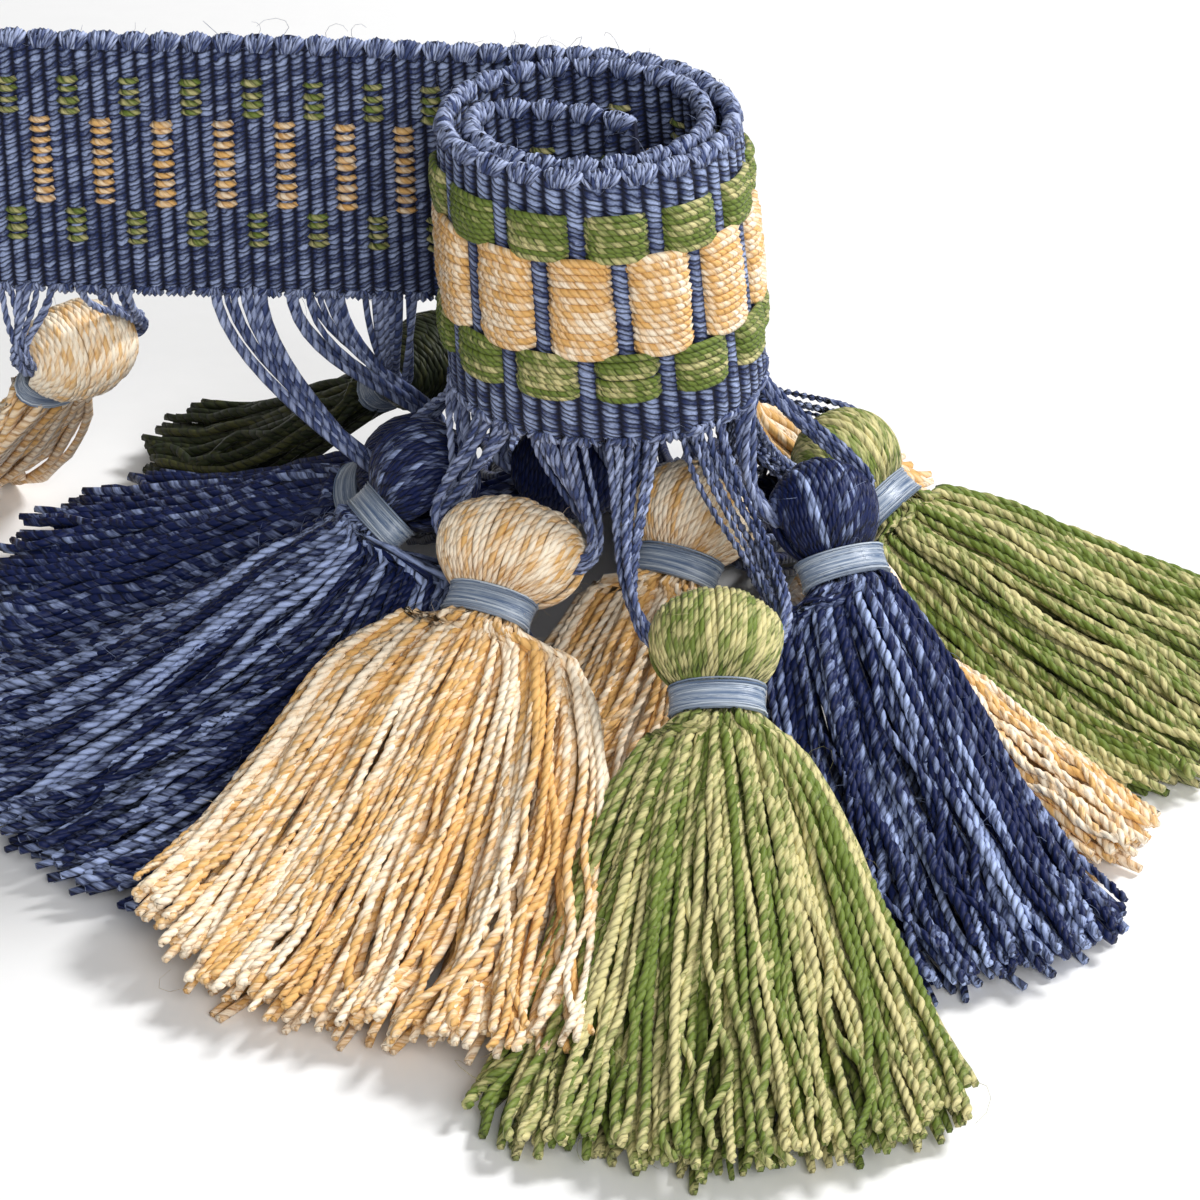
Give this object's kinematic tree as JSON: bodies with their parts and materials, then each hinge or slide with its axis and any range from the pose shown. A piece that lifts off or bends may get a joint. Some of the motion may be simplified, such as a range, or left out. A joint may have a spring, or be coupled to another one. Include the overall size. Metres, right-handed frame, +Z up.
{
  "type": "tassel fringe trimming with woven heading",
  "caption": "Ribbed woven heading band, rolled at one end and stood on edge, with bound tassels hung from its lower edge on cord loops and fanned out on the surface",
  "frame": {"origin": "on the surface the fringe stands on, under the middle of its overall box", "axes": "+Z up from the surface, +X along the straight tail of the band towards the roll, +Y from the front of the roll to the tail"},
  "size_m": [0.1523, 0.1418, 0.0665],
  "materials": {
    "band_weave": "ribbed twisted cord weave in mid blue with green and gold float blocks",
    "loop_cord": "twisted two-ply cord, satin",
    "navy_yarn": "loose two-ply yarn, satin",
    "gold_yarn": "loose two-ply yarn, satin",
    "green_yarn": "loose two-ply yarn, satin",
    "dark_green_yarn": "loose two-ply yarn, satin",
    "binding_thread": "fine wound filament, silky sheen"
  },
  "bodies": {
    "root": {"band": "band_weave", "binding_front_gold": "binding_thread", "binding_front_green": "binding_thread", "binding_inner_gold": "binding_thread", "binding_inner_navy": "binding_thread", "binding_left_navy": "binding_thread", "binding_rear_gold": "binding_thread", "binding_right_green": "binding_thread", "binding_right_navy": "binding_thread", "binding_side_gold": "binding_thread", "binding_tail_gold": "binding_thread", "binding_tail_green": "binding_thread", "binding_tail_navy": "binding_thread", "loop_front_gold": "loop_cord", "loop_front_green": "loop_cord", "loop_inner_gold": "loop_cord", "loop_inner_navy": "loop_cord", "loop_left_navy": "loop_cord", "loop_rear_gold": "loop_cord", "loop_right_green": "loop_cord", "loop_right_navy": "loop_cord", "loop_side_gold": "loop_cord", "loop_tail_gold": "loop_cord", "loop_tail_green": "loop_cord", "loop_tail_navy": "loop_cord", "tassel_front_gold": "gold_yarn", "tassel_front_green": "green_yarn", "tassel_inner_gold": "gold_yarn", "tassel_inner_navy": "navy_yarn", "tassel_left_navy": "navy_yarn", "tassel_rear_gold": "gold_yarn", "tassel_right_green": "green_yarn", "tassel_right_navy": "navy_yarn", "tassel_side_gold": "gold_yarn", "tassel_tail_gold": "gold_yarn", "tassel_tail_green": "dark_green_yarn", "tassel_tail_navy": "navy_yarn"}
  },
  "joints": []
}
